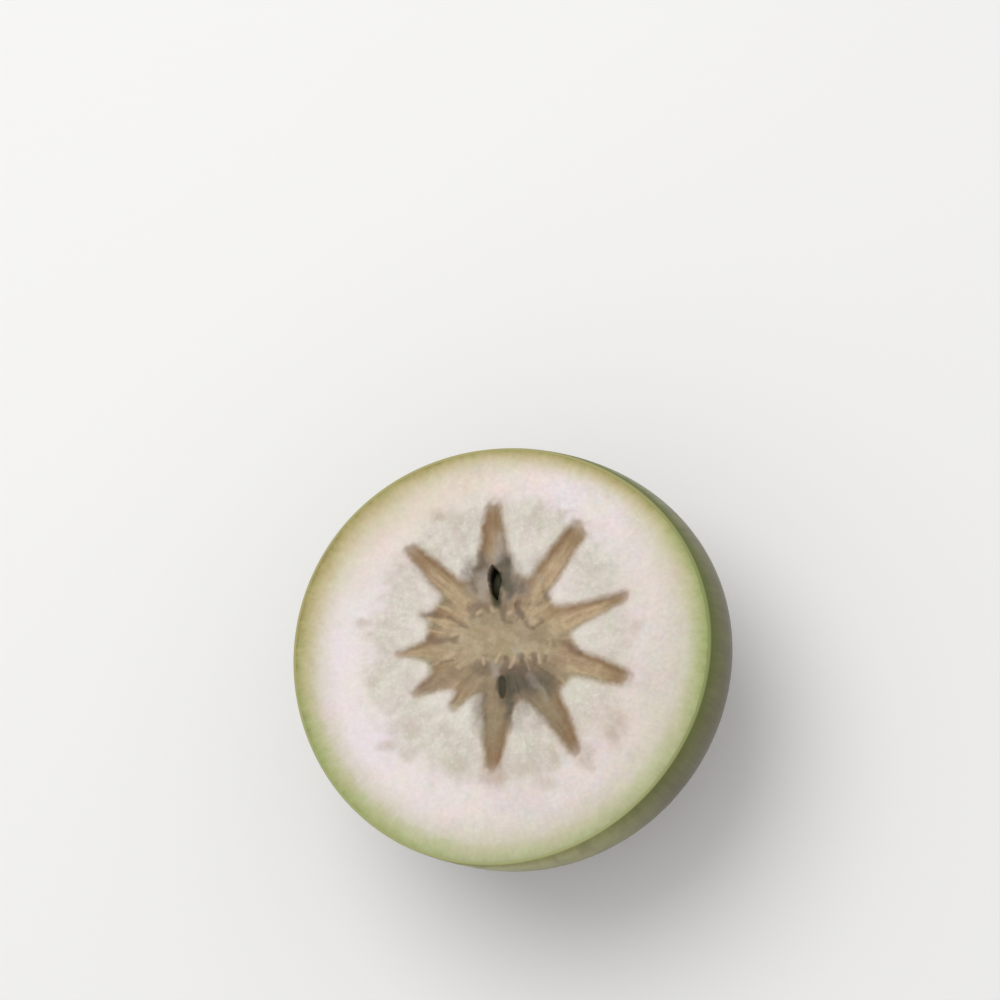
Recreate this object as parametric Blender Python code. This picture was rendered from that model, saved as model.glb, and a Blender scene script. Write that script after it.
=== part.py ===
"""Half of a star apple, cut across and lying on its skin with the cut face up.

The fruit grew as one piece, so its skin and flesh are one solid. The seed cells open on
the cut face as a star of shallow boats round a small core, and two of them hold a seed.
Lengths are in metres and +Z is up. The origin is on the surface that the fruit rests on,
below the middle of the fruit.
"""

import math

import bmesh
import bpy
from mathutils import Matrix, Vector

MM = 0.001

# The fruit: an egg of revolution, wider than it is deep
EQUATOR_RADIUS = 39.8 * MM
BLOSSOM_DEPTH = 37.5 * MM
CUT_ABOVE_EQUATOR = 5.6 * MM
REST_RADIUS = 7.5 * MM
REST_DEPTH = BLOSSOM_DEPTH * math.sqrt(1 - (REST_RADIUS / EQUATOR_RADIUS) ** 2)
CUT_HEIGHT = REST_DEPTH + CUT_ABOVE_EQUATOR

# Its growth is uneven: three low swells, and a belly that bulges past the cut face
SWELLS = 3
SWELL_SHARE = 0.0077
SWELL_ANGLE = math.radians(20.8)
FRUIT_AXIS = Vector((0.92, 0.46, 0)) * MM
BELLY_LEAN = Vector((2.36, 0.57, 0)) * MM
LEAN_DEPTH = CUT_ABOVE_EQUATOR + 5 * MM

# The scar of the flower at the blossom end, inside the flat spot
SCAR_RADIUS = 2.2 * MM
SCAR_DEPTH = 1.0 * MM

# The star: its centre is a little off the middle of the face
FACE_CENTRE = FRUIT_AXIS - BELLY_LEAN + Vector((0, 0, CUT_HEIGHT))
STAR_CENTRE = FACE_CENTRE + Vector((1.06, 2.09, 0)) * MM
CORE_HALF = Vector((11.5, 6.5, 1.1)) * MM
CORE_CENTRE = STAR_CENTRE + Vector((-0.8, -0.2, 0)) * MM

# Each seed cell: direction in degrees, reach from the star's centre and half width in mm
CELLS = {
    "top": (93.4, 26.8, 2.1),
    "upper_right": (52.6, 26.0, 2.0),
    "right": (17.0, 25.4, 1.7),
    "lower_right": (-19.5, 25.1, 2.0),
    "bottom_right": (-57.5, 25.0, 1.9),
    "bottom": (-95.6, 24.9, 2.1),
    "bottom_left": (-126.7, 15.4, 1.5),
    "lower_left": (-150.1, 19.8, 2.1),
    "left": (-175.2, 20.2, 2.1),
    "upper_left": (159.9, 17.4, 1.4),
    "top_left": (133.5, 26.8, 1.7),
}
CELL_START = 3.0 * MM
CELL_DEPTH = 1.6 * MM
CELL_TAPER = 0.35

# The softer pulp between the cells stands a little lower than the flesh round it
LOBE_START = 5.0 * MM
LOBE_REACH = 28.0 * MM
LOBE_DEPTH = 0.45 * MM
LOBE_FILL = 0.92

# Unfertilised seeds, as small knobs round the core: direction, distance and radius in mm
KNOBS = (
    (77, 5.4, 1.2),
    (109, 6.0, 0.9),
    (129, 7.2, 1.0),
    (156, 10.4, 1.1),
    (171, 9.9, 1.0),
    (-165, 10.9, 0.9),
    (-151, 9.5, 0.9),
    (-132, 5.6, 1.0),
    (-106, 5.7, 0.9),
    (-71, 4.7, 1.1),
    (-30, 8.1, 1.0),
    (-6, 8.8, 0.9),
    (29, 6.7, 1.3),
)
KNOB_BELOW_FACE = 0.15 * MM

# A seed: its middle from the star's centre and its half sizes across, along and down
SEED_TOP_BELOW_FACE = 0.8 * MM
SEED_CLEARANCE = 0.35 * MM
SEEDS = {
    "seed_upper": (Vector((-1.0, 10.6, 0)) * MM, Vector((2.5, 4.6, 8.5)) * MM),
    "seed_lower": (Vector((1.5, -9.4, 0)) * MM, Vector((2.5, 3.9, 8.0)) * MM),
}

# The slit over each seed: its two ends from the star's centre, half width and depth
SLITS = {
    "seed_upper": (Vector((-2.08, 14.2, 0)) * MM, Vector((-0.62, 6.6, 0)) * MM, 1.1 * MM),
    "seed_lower": (Vector((-0.51, -11.8, 0)) * MM, Vector((-0.6, -6.6, 0)) * MM, 0.8 * MM),
}
SLIT_DEPTH = 5.0 * MM

# How finely each round form is divided
FRUIT_SEGMENTS, FRUIT_RINGS = 72, 36
CELL_SEGMENTS, CELL_RINGS = 14, 12
LOBE_SEGMENTS, LOBE_RINGS = 18, 6
KNOB_SEGMENTS, KNOB_RINGS = 10, 8
SEED_SEGMENTS, SEED_RINGS = 18, 12

# A turn sharper than this between two faces is a real edge, such as the flat spot's
EDGE_ANGLE = math.radians(11)

# Colours of the surfaces, as plain linear values with roughness
FINISHES = {
    "skin": ((0.33, 0.38, 0.11), 0.35),
    "flesh": ((0.80, 0.74, 0.66), 0.45),
    "seed_cell": ((0.40, 0.28, 0.17), 0.45),
    "seed": ((0.035, 0.022, 0.014), 0.2),
}


def clear_scene():
    for old in list(bpy.data.objects):
        bpy.data.objects.remove(old)


def make_collection(name):
    made = bpy.data.collections.new(name)
    bpy.context.scene.collection.children.link(made)
    return made


def make_material(name):
    colour, roughness = FINISHES[name]
    material = bpy.data.materials.new(name)
    material.use_nodes = True
    shader = material.node_tree.nodes["Principled BSDF"]
    shader.inputs["Base Color"].default_value = (*colour, 1)
    shader.inputs["Roughness"].default_value = roughness
    shader.inputs["Metallic"].default_value = 0
    return material


def add_object(name, shape, collection, material):
    """Turns a bmesh into an object of the collection, smooth apart from its real edges."""
    mesh = bpy.data.meshes.new(name)
    shape.to_mesh(mesh)
    shape.free()
    mesh.materials.append(material)
    mesh.shade_smooth()
    mesh.set_sharp_from_angle(angle=EDGE_ANGLE)
    made = bpy.data.objects.new(name, mesh)
    collection.objects.link(made)
    return made


def add_cutter(name, shape, collection, material):
    """A helper solid, which is left out of renders."""
    made = add_object(name, shape, collection, material)
    made.hide_render = True
    made.display_type = "WIRE"
    return made


def ellipsoid(half, segments, rings):
    """A closed egg round the origin, its poles up and down."""
    shape = bmesh.new()
    bmesh.ops.create_uvsphere(shape, u_segments=segments, v_segments=rings, radius=1)
    bmesh.ops.scale(shape, vec=half, verts=shape.verts)
    return shape


def place(shape, centre, angle=0.0):
    bmesh.ops.rotate(
        shape, cent=(0, 0, 0), matrix=Matrix.Rotation(angle, 3, "Z"), verts=shape.verts
    )
    bmesh.ops.translate(shape, vec=centre, verts=shape.verts)
    return shape


def boat(half_length, half_width, depth, taper):
    """A blunt-ended hull along X, narrower towards +X by the taper, with its middle at the origin."""
    shape = ellipsoid((1, 1, 1), CELL_SEGMENTS, CELL_RINGS)
    bmesh.ops.rotate(
        shape, cent=(0, 0, 0), matrix=Matrix.Rotation(math.pi / 2, 3, "Y"), verts=shape.verts
    )
    for vert in shape.verts:
        along = math.sin(vert.co.x * math.pi / 2)
        narrow = 1 - taper * along
        vert.co = Vector((along * half_length, vert.co.y * half_width * narrow, vert.co.z * depth))
    return shape


def uneven(point):
    """Moves a point of the round fruit to where the uneven fruit has it."""
    around = math.atan2(point.y, point.x)
    swell = 1 + SWELL_SHARE * math.cos(SWELLS * (around - SWELL_ANGLE))
    below_cut = min(1.0, max(0.0, (CUT_HEIGHT - point.z) / LEAN_DEPTH))
    lean = math.sin(below_cut * math.pi / 2) - 1
    moved = Vector((point.x * swell, point.y * swell, point.z))
    return moved + FRUIT_AXIS + BELLY_LEAN * lean


def flat_cut(shape, height, clear_above):
    """Cuts the shape level at a height, drops one side and closes the cut with one face."""
    cut = bmesh.ops.bisect_plane(
        shape,
        geom=shape.verts[:] + shape.edges[:] + shape.faces[:],
        plane_co=(0, 0, height),
        plane_no=(0, 0, 1),
        clear_outer=clear_above,
        clear_inner=not clear_above,
    )
    edges = [item for item in cut["geom_cut"] if isinstance(item, bmesh.types.BMEdge)]
    bmesh.ops.edgeloop_fill(shape, edges=edges)


def fruit_shape():
    """The half fruit before anything is hollowed out of it."""
    shape = ellipsoid(
        (EQUATOR_RADIUS, EQUATOR_RADIUS, BLOSSOM_DEPTH), FRUIT_SEGMENTS, FRUIT_RINGS
    )
    bmesh.ops.translate(shape, vec=(0, 0, REST_DEPTH), verts=shape.verts)
    flat_cut(shape, CUT_HEIGHT, clear_above=True)
    flat_cut(shape, 0, clear_above=False)
    for vert in shape.verts:
        vert.co = uneven(vert.co)
    bmesh.ops.recalc_face_normals(shape, faces=shape.faces)
    return shape


def from_star(angle, distance):
    return STAR_CENTRE + Vector((math.cos(angle), math.sin(angle), 0)) * distance


def add_cells(collection, material):
    for name, (degrees, reach, half_width) in CELLS.items():
        angle = math.radians(degrees)
        half_length = (reach * MM - CELL_START) / 2
        hull = boat(half_length, half_width * MM, CELL_DEPTH, CELL_TAPER)
        place(hull, from_star(angle, CELL_START + half_length), angle)
        add_cutter("cell_" + name, hull, collection, material)
    core = ellipsoid(CORE_HALF, LOBE_SEGMENTS, LOBE_RINGS)
    add_cutter("core", place(core, CORE_CENTRE), collection, material)


def add_lobes(collection, material):
    """One shallow dip for the pulp between each cell and the next one round."""
    turns = sorted(math.radians(degrees) for degrees, _, _ in CELLS.values())
    half_length = (LOBE_REACH - LOBE_START) / 2
    middle = LOBE_START + half_length
    for number, (start, end) in enumerate(zip(turns, turns[1:] + [turns[0] + math.tau])):
        half_width = middle * math.tan((end - start) / 2) * LOBE_FILL
        dip = ellipsoid((half_length, half_width, LOBE_DEPTH), LOBE_SEGMENTS, LOBE_RINGS)
        angle = (start + end) / 2
        place(dip, from_star(angle, middle), angle)
        add_cutter(f"lobe_{number + 1}", dip, collection, material)


def seed_centre(name, below_face):
    offset, half = SEEDS[name]
    return STAR_CENTRE + offset - Vector((0, 0, below_face + half.z))


def add_pockets(collection, material):
    """The hollow that each seed lies in, and the slit that opens it to the cut face."""
    for name, (_, half) in SEEDS.items():
        roomy = half + Vector((1, 1, 1)) * SEED_CLEARANCE
        pocket = ellipsoid(roomy, SEED_SEGMENTS, SEED_RINGS)
        place(pocket, seed_centre(name, SEED_TOP_BELOW_FACE))
        add_cutter("pocket_" + name, pocket, collection, material)
        outer, inner, half_width = SLITS[name]
        run = outer - inner
        slit = boat(run.length / 2, half_width, SLIT_DEPTH, 0)
        place(slit, STAR_CENTRE + (outer + inner) / 2, math.atan2(run.y, run.x))
        add_cutter("slit_" + name, slit, collection, material)


def add_scar(collection, material):
    dent = ellipsoid((SCAR_RADIUS, SCAR_RADIUS, SCAR_DEPTH), KNOB_SEGMENTS, KNOB_RINGS)
    add_cutter("scar", place(dent, FRUIT_AXIS), collection, material)


def add_knobs(collection, material):
    for number, (degrees, distance, radius) in enumerate(KNOBS):
        knob = ellipsoid(Vector((1, 1, 1)) * radius * MM, KNOB_SEGMENTS, KNOB_RINGS)
        centre = from_star(math.radians(degrees), distance * MM)
        centre.z -= KNOB_BELOW_FACE + radius * MM
        add_cutter(f"knob_{number + 1}", place(knob, centre), collection, material)


def add_boolean(target, operation, collection):
    step = target.modifiers.new(operation.lower(), "BOOLEAN")
    step.operation = operation
    step.operand_type = "COLLECTION"
    step.collection = collection
    step.solver = "EXACT"
    step.material_mode = "TRANSFER"


def add_seeds(collection, material):
    for name, (_, half) in SEEDS.items():
        seed = ellipsoid(half, SEED_SEGMENTS, SEED_RINGS)
        made = add_object(name, seed, collection, material)
        made.location = seed_centre(name, SEED_TOP_BELOW_FACE)


def main():
    clear_scene()
    finishes = {name: make_material(name) for name in FINISHES}
    fruit = make_collection("star_apple_half")
    hollows = make_collection("hollows")
    knobs = make_collection("knobs")

    half = add_object("fruit_half", fruit_shape(), fruit, finishes["skin"])
    half.data.materials.append(finishes["flesh"])
    for face in half.data.polygons:
        if face.center.z > CUT_HEIGHT - MM / 10:
            face.material_index = 1
            face.use_smooth = False
    add_lobes(hollows, finishes["flesh"])
    add_cells(hollows, finishes["seed_cell"])
    add_pockets(hollows, finishes["seed_cell"])
    add_scar(hollows, finishes["seed_cell"])
    add_knobs(knobs, finishes["flesh"])
    add_boolean(half, "DIFFERENCE", hollows)
    add_boolean(half, "UNION", knobs)
    add_seeds(fruit, finishes["seed"])


main()
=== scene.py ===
"""Half of a star apple with its cut face up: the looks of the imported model."""

import math

import bmesh
import bpy
import numpy as np
from mathutils import Matrix, Vector


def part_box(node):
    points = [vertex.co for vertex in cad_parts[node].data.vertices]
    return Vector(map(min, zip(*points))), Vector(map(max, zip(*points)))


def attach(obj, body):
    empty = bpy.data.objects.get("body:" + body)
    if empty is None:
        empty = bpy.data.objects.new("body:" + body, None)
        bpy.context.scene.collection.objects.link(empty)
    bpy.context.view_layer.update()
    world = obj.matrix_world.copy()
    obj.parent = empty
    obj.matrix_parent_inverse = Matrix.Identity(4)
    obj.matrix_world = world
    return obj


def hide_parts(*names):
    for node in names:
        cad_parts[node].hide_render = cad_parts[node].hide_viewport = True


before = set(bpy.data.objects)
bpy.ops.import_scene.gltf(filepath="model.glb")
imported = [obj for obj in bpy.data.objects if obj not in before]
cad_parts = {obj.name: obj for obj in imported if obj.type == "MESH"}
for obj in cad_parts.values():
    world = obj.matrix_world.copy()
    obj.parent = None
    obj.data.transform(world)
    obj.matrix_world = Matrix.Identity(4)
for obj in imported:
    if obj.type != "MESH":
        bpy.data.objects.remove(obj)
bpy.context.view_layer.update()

MM = 0.001

# The fruit's own form, in mm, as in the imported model
CUT_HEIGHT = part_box("fruit_half")[1].z / MM
EQUATOR_RADIUS = 39.8
BLOSSOM_DEPTH = 37.5
CUT_ABOVE_EQUATOR = 5.6
EQUATOR_HEIGHT = CUT_HEIGHT - CUT_ABOVE_EQUATOR
REST_RADIUS = 7.5
SWELLS = 3
SWELL_SHARE = 0.0077
SWELL_ANGLE = math.radians(20.8)
FRUIT_AXIS = (0.92, 0.46)
BELLY_LEAN = (2.36, 0.57)
LEAN_DEPTH = CUT_ABOVE_EQUATOR + 5
FACE_CENTRE = (FRUIT_AXIS[0] - BELLY_LEAN[0], FRUIT_AXIS[1] - BELLY_LEAN[1])
STAR_OFFSET = (1.06, 2.09)
STAR_CENTRE = (FACE_CENTRE[0] + STAR_OFFSET[0], FACE_CENTRE[1] + STAR_OFFSET[1])

# Skin
SKIN_THICKNESS = 0.55
RIM_ROUND = 0.22
SCAR_RADIUS = 2.2
SCAR_DEPTH = 1.0
SCAR_ROUND = 1.3
# The skin's steps round the fruit, and along each part of its section
SKIN_STEPS = 240
SKIN_RINGS = 110
SCAR_STEPS = 10
FLAT_STEPS = 7
RIM_STEPS = 4
INNER_STEPS = 16
INNER_START = 0.02

# A turn sharper than this between two faces is a real edge
SHARP_TURN = math.radians(55)

# Flesh: the face's squares and how they crowd towards its rim, how far the flesh tucks under
# the skin, and the depths of the rings of its wall
FACE_CELLS = 288
FACE_CROWDING = 0.2
FLESH_TUCK = 0.06
WALL_DEPTHS = (0.6, 2, 5, 10, 16, 23, 30, 35)

# Seed cells: direction in degrees, reach, how far the tip bends to the left, half width near the
# core, halfway and near the tip, and how brown the cell is
CELLS = {
    "top": (97.0, 26.6, -1.3, 3.0, 2.55, 1.5, 0.5),
    "upper_right": (56.2, 25.8, -0.6, 2.3, 2.15, 1.8, 0.1),
    "right": (15.7, 24.6, 0.6, 2.7, 1.65, 0.8, 0.0),
    "lower_right": (-20.6, 25.0, 0.2, 2.7, 2.15, 1.5, 0.15),
    "bottom_right": (-55.4, 25.6, -1.3, 3.0, 2.2, 1.2, 0.9),
    "bottom": (-95.6, 24.6, 0.2, 2.9, 2.45, 1.4, 0.75),
    "bottom_left": (-128.0, 16.0, 0, 2.4, 1.8, 0.8, 0.5),
    "lower_left": (-150.6, 19.4, 0, 2.9, 2.1, 0.9, 0.3),
    "left": (-175.2, 20.4, 0, 2.7, 2.0, 0.6, 0.25),
    "upper_left": (160.2, 16.8, 0, 2.0, 1.3, 0.5, 0.0),
    "top_left": (134.0, 26.2, 0, 2.3, 2.0, 1.3, 0.15),
}
# The parts of a cell's reach that its three half widths are for, where the cells start, how deep
# they are and how softly they run together
CELL_STATIONS = (0.45, 0.7, 0.93)
CELL_START = 2
CELL_DEPTH = 0.7
CELL_SPREAD = 0.55
CELL_BLEND = 0.6
FAR_OUTSIDE = -99.0
ALMOST_NOTHING = 1e-18

# Between two cells: direction in degrees, reach of the star's web and reach of the pulp
GAPS = (
    (-163, 14.4, 27.4),
    (-139, 12.9, 27.5),
    (-117, 10.8, 27.4),
    (-73, 11.8, 26.4),
    (-36, 14.6, 24.6),
    (-1, 12.6, 23.2),
    (35, 11.0, 24.6),
    (73, 12.3, 27.0),
    (119, 13.4, 27.0),
    (147, 14.5, 25.8),
    (172, 14.4, 26.7),
)
# The pulp's notch at each cell, its half width as an angle, and the pulp's depth
PULP_NOTCH = 1.8
NOTCH_TURN = 0.12
PULP_DEPTH = 0.14

CORE_CENTRE = (-0.8, -0.2)
CORE_HALF = (10.5, 5.8)
CORE_DEPTH = 0.6

# Pale knobs, partly painted highlight; painted shade in the hollows round them, with broader
# darker strokes; and grey veils round the core: both ends, half width and strength
NUBS = (
    ((0.9, 4.9), (1.4, 5.1), 0.8, 0.65),
    ((5.2, 3.3), (5.9, 3.1), 0.9, 0.4),
    ((-4.9, 5.4), (-4.4, 5.9), 0.6, 0.6),
    ((-2.5, 6.5), (-2.1, 5.6), 0.45, 0.6),
    ((-10.1, 4.1), (-8.8, 3.4), 0.4, 0.5),
    ((-10.2, 1.4), (-9.1, 1.5), 0.5, 0.6),
    ((-11.6, -3.2), (-9.5, -1.9), 0.5, 0.6),
    ((-8.8, -4.7), (-8.4, -4.9), 0.55, 0.7),
    ((-3.9, -3.4), (-3.7, -4.4), 0.5, 0.8),
    ((-0.7, -2.5), (-1.5, -4.2), 0.45, 0.8),
    ((2.0, -3.4), (1.1, -5.2), 0.55, 0.75),
    ((6.6, -3.1), (6.8, -4.7), 0.5, 0.9),
    ((8.4, -0.4), (8.8, -0.9), 0.5, 0.35),
    ((3.9, -3.9), (4.9, -5.9), 0.4, 0.4),
    ((-3.4, 2.5), (2.4, -0.3), 0.9, 0.3),
)
HOLLOW_SHADES = (
    ((0.7, 4.5), (2.0, 5.4), 2.0, 0.45),
    ((-0.2, 4.7), (0.0, 3.9), 0.8, 0.9),
    ((0.0, 3.9), (1.3, 3.3), 0.7, 0.7),
    ((2.2, 3.7), (3.0, 4.8), 0.6, 0.5),
    ((3.1, 4.8), (2.7, 6.6), 1.0, 1.0),
    ((-0.4, 6.4), (-0.1, 4.8), 1.35, 0.95),
    ((4.0, 3.6), (4.4, 2.2), 0.7, 0.6),
    ((4.4, 2.2), (5.7, 1.7), 0.7, 0.7),
    ((5.7, 1.7), (7.0, 2.5), 0.6, 0.5),
    ((7.0, 2.5), (7.0, 3.8), 0.6, 0.6),
    ((-5.9, 6.0), (-5.4, 4.7), 0.7, 0.7),
    ((-5.4, 4.7), (-4.2, 4.8), 0.5, 0.5),
    ((-3.3, 6.6), (-3.2, 5.4), 0.6, 0.6),
    ((-10.6, 5.0), (-7.4, 2.8), 0.7, 0.6),
    ((-14.2, 0.9), (-9.2, 0.5), 0.9, 0.7),
    ((-15.3, 5.7), (-12.0, 5.4), 0.7, 0.6),
    ((-12.2, -3.7), (-9.8, -3.0), 0.5, 0.6),
    ((-4.9, -4.1), (-4.6, -5.2), 0.7, 0.7),
    ((0.1, -3.4), (0.1, -5.8), 0.9, 0.9),
    ((3.1, -3.4), (3.5, -6.2), 1.0, 1.0),
    ((0.4, -5.6), (2.8, -6.2), 0.9, 0.8),
    ((5.5, -3.2), (5.8, -4.7), 0.9, 0.9),
    ((7.9, -3.4), (7.8, -4.4), 0.7, 0.8),
    ((9.4, -0.2), (9.2, -1.4), 0.6, 0.5),
    ((-5.3, 9.6), (-6.4, 11.2), 0.6, 0.8),
    ((11.4, -1.4), (14.2, -3.2), 0.9, 0.6),
    ((8.2, 7.4), (7.6, 8.8), 0.8, 0.5),
    ((3.4, 0.9), (6.6, 0.2), 2.6, 0.35),
    ((12.6, -4.7), (16.5, -6.0), 0.8, 0.3),
    ((-9.6, -5.9), (-6.4, -6.6), 2.2, 0.4),
    ((-15.5, -8.6), (-11.5, -6.8), 1.5, 0.45),
    ((-5.0, -5.2), (4.4, -5.6), 1.9, 0.85),
    ((6.2, -4.4), (10.4, -4.8), 2.0, 0.45),
    ((-1.0, 3.8), (3.6, 2.2), 2.4, 0.3),
    ((-5.4, 4.6), (-1.4, 4.4), 1.8, 0.35),
    ((-6.4, 6.5), (-3.8, 6.7), 1.0, 0.65),
    ((0.4, 6.4), (6.4, 6.6), 0.9, 0.4),
    ((-4.2, 16.8), (-4.9, 13.0), 1.0, 0.75),
    ((9.2, 0.2), (12.2, -0.4), 1.0, 0.3),
    ((-0.8, 5.4), (-0.3, 4.2), 1.2, 0.6),
    ((0.2, 6.8), (0.3, 6.1), 0.9, 0.8),
    ((-3.6, -3.2), (-1.8, -3.3), 0.9, 0.35),
)
VEILS = (
    ((-0.8, 20.0), (-1.0, 15.8), 1.3, 0.7),
    ((-4.3, 12.6), (-3.7, 8.2), 1.5, 0.75),
    ((-6.6, 10.4), (-5.6, 8.2), 1.7, 0.3),
    ((4.9, -7.0), (7.8, -11.3), 0.9, 0.4),
    ((-1.6, -4.5), (-1.7, -6.6), 1.1, 0.8),
    ((2.5, -1.7), (2.6, -2.9), 0.8, 0.5),
    ((5.6, 12.2), (7.4, 11.0), 1.0, 0.4),
)

# Seeds: how far below the cut their tops are and the least flesh over them, then for each its
# centre from the star's centre and its half sizes across, along and down
SEED_TOP = 0.8
SEED_COVER = 0.25
SEED_SEGMENTS = 64
SEED_RINGS = 48
SEEDS = {
    "seed_upper": ((-1.0, 10.6), (2.5, 4.6, 8.5)),
    "seed_lower": ((1.5, -9.4), (2.5, 3.9, 8.0)),
}
# The slits that open over the seeds: both ends, half width, depth, how blunt their ends are and
# how soft their edges are
SLITS = (
    ((-2.3, 14.6), (-1.35, 7.6), 1.1, 4.5, 2, 0.16),
    ((-0.6, -6.5), (-0.2, -11.3), 0.66, 1.3, 4, 0.36),
)
# The gloom of a seed just under the flesh beside a slit
GLOOM = (
    ((-0.9, 12.6), (-0.8, 10.8), 1.2, 0.6),
    ((-1.6, 9.6), (-1.4, 7.4), 1.5, 0.7),
    ((0.3, -7.4), (0.5, -10.2), 1.5, 0.45),
    ((-1.1, -7.3), (-0.9, -9.0), 0.9, 0.4),
)

# Where a seed below darkens the flesh: centre, half sizes and strength
SHADED = (
    ((1.8, -8.4), (3.4, 4.4), 0.95),
    ((4.4, -7.6), (3.4, 3.2), 0.85),
    ((7.8, -8.4), (3.4, 4.0), 0.8),
    ((1.0, -13.0), (1.6, 4.4), 0.8),
    ((3.2, -5.6), (3.2, 1.6), 0.5),
    ((5.0, -10.4), (2.0, 2.6), 0.6),
    ((3.6, -13.0), (2.4, 2.8), 0.4),
    ((-4.6, -13.2), (2.3, 5.0), 0.5),
    ((0.6, -5.8), (2.6, 1.7), 0.5),
    ((2.8, -15.6), (1.6, 3.2), 0.25),
    ((0.6, 11.2), (1.9, 4.6), 0.95),
    ((0.1, 14.8), (2.5, 2.7), 0.9),
    ((2.8, 9.8), (3.4, 3.4), 0.75),
    ((2.6, 13.8), (2.0, 2.6), 0.3),
    ((-6.3, 13.2), (2.4, 4.0), 0.65),
    ((5.6, 14.6), (2.2, 2.8), 0.2),
    ((6.2, -15.4), (1.7, 2.8), 0.25),
    ((-1.0, 14.4), (1.6, 1.9), 0.75),
    ((-0.3, 17.8), (0.9, 3.0), 0.65),
    ((-3.8, 14.2), (2.4, 3.4), 0.75),
    ((-4.4, 10.0), (2.6, 4.0), 0.4),
    ((0.5, 8.6), (1.4, 1.8), 0.5),
    ((-0.2, -11.8), (1.7, 1.7), 0.55),
    ((-1.6, -9.0), (1.3, 3.0), 0.3),
)

# Faint stains in the pulp: centre, half sizes and strength
STAINS = (
    ((-12, 24.6), (3.2, 2.2), 0.7),
    ((-9, 22.5), (1.4, 3.0), 0.5),
    ((6.8, 24.2), (1.4, 3.0), 0.6),
    ((10.8, 23.6), (1.6, 2.0), 0.5),
    ((-26.5, 4.5), (3.0, 1.3), 0.5),
    ((-24.5, -6), (1.8, 2.6), 0.4),
    ((-20, 14.6), (3.0, 2.2), 0.35),
    ((-22, -19), (2.8, 1.5), 0.8),
    ((-17.5, -16), (2.6, 3.6), 0.5),
    ((-18, -20.4), (2.8, 2.4), 0.6),
    ((-8.6, -23.4), (2.4, 3.0), 0.6),
    ((-2.0, -25.6), (3.8, 3.4), 0.9),
    ((4.5, -24.4), (3.2, 2.2), 0.5),
    ((9.2, -22.4), (1.8, 3.2), 0.6),
    ((20.8, -17.6), (3.0, 4.8), 0.85),
    ((24.8, 0.6), (1.6, 2.4), 0.5),
    ((15.4, -22.8), (2.6, 3.2), 0.9),
    ((7.4, -27.2), (3.0, 2.0), 0.5),
)

# Camera: its lens, where it stands seen from the face's centre and where that centre shows
PICTURE_SIZE = 1000
LENS = 100
SENSOR_WIDTH = 36
FOCAL_PIXELS = PICTURE_SIZE * LENS / SENSOR_WIDTH
MM_PER_PIXEL = 0.184
CAMERA_TILT = math.radians(18.87)
CAMERA_AZIMUTH = math.radians(-48.29)
FACE_PIXEL = (497.7, 650.6)

# Floor and light
FLOOR_COLOUR = (0.93, 0.93, 0.925)
FLOOR_ROUGHNESS = 0.6
FLOOR_HALF = 3
KEY_PLACE = (-0.2, 0.3, 0.85)
KEY_SIZE = 0.7
KEY_POWER = 3.0
KEY_COLOUR = (1.0, 0.985, 0.965)
SOFT_LIGHT = 0.65


def soft_step(low, high, value):
    """0 below low and 1 above high, with a smooth change between, for either order."""
    part = np.clip((value - low) / (high - low), 0, 1)
    return part * part * (3 - 2 * part)


def ripples(x, y, size, seed, waves=10):
    """Soft uneven waves of about this size, mostly between -1 and 1."""
    draw = np.random.default_rng(seed)
    total = 0
    for _ in range(waves):
        turn, start = draw.uniform(0, math.tau, 2)
        pace = math.tau / size * draw.uniform(0.6, 1.6)
        total = total + np.sin((x * math.cos(turn) + y * math.sin(turn)) * pace + start)
    return total / math.sqrt(waves)


def belly_radius(height):
    return EQUATOR_RADIUS * np.sqrt(1 - ((height - EQUATOR_HEIGHT) / BLOSSOM_DEPTH) ** 2)


def uneven(x, y, height):
    """Moves points of the round fruit to where the uneven fruit has them."""
    around = np.arctan2(y, x)
    swell = 1 + SWELL_SHARE * np.cos(SWELLS * (around - SWELL_ANGLE))
    below_cut = np.clip((CUT_HEIGHT - height) / LEAN_DEPTH, 0, 1)
    lean = np.sin(below_cut * math.pi / 2) - 1
    return (
        x * swell + FRUIT_AXIS[0] + BELLY_LEAN[0] * lean,
        y * swell + FRUIT_AXIS[1] + BELLY_LEAN[1] * lean,
    )


def read_points(mesh):
    points = np.empty(len(mesh.vertices) * 3)
    mesh.vertices.foreach_get("co", points)
    return points.reshape(-1, 3)


def write_points(mesh, x, y, z):
    mesh.vertices.foreach_set("co", np.stack([x, y, z], 1).ravel() * MM)
    mesh.update()


def write_value(mesh, name, values):
    layer = mesh.attributes.new(name, "FLOAT", "POINT")
    layer.data.foreach_set("value", np.asarray(values, dtype=np.float32))


def new_piece(name, mesh, material, slot, *nodes):
    """A finished piece that rides on the fruit and stands for these solids."""
    mesh.materials.append(material)
    mesh.shade_smooth()
    mesh.set_sharp_from_angle(angle=SHARP_TURN)
    piece = bpy.data.objects.new(name, mesh)
    bpy.context.scene.collection.objects.link(piece)
    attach(piece, "root")
    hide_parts(*nodes)
    return piece


def mesh_from(name, shape):
    mesh = bpy.data.meshes.new(name)
    shape.to_mesh(mesh)
    shape.free()
    return mesh


def by_direction(turn, rows, column):
    """A reach that changes with direction, from rows that start with a direction in degrees."""
    directions = np.radians([row[0] for row in rows])
    return np.interp(turn, directions, [row[column] for row in rows], period=math.tau)


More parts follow.
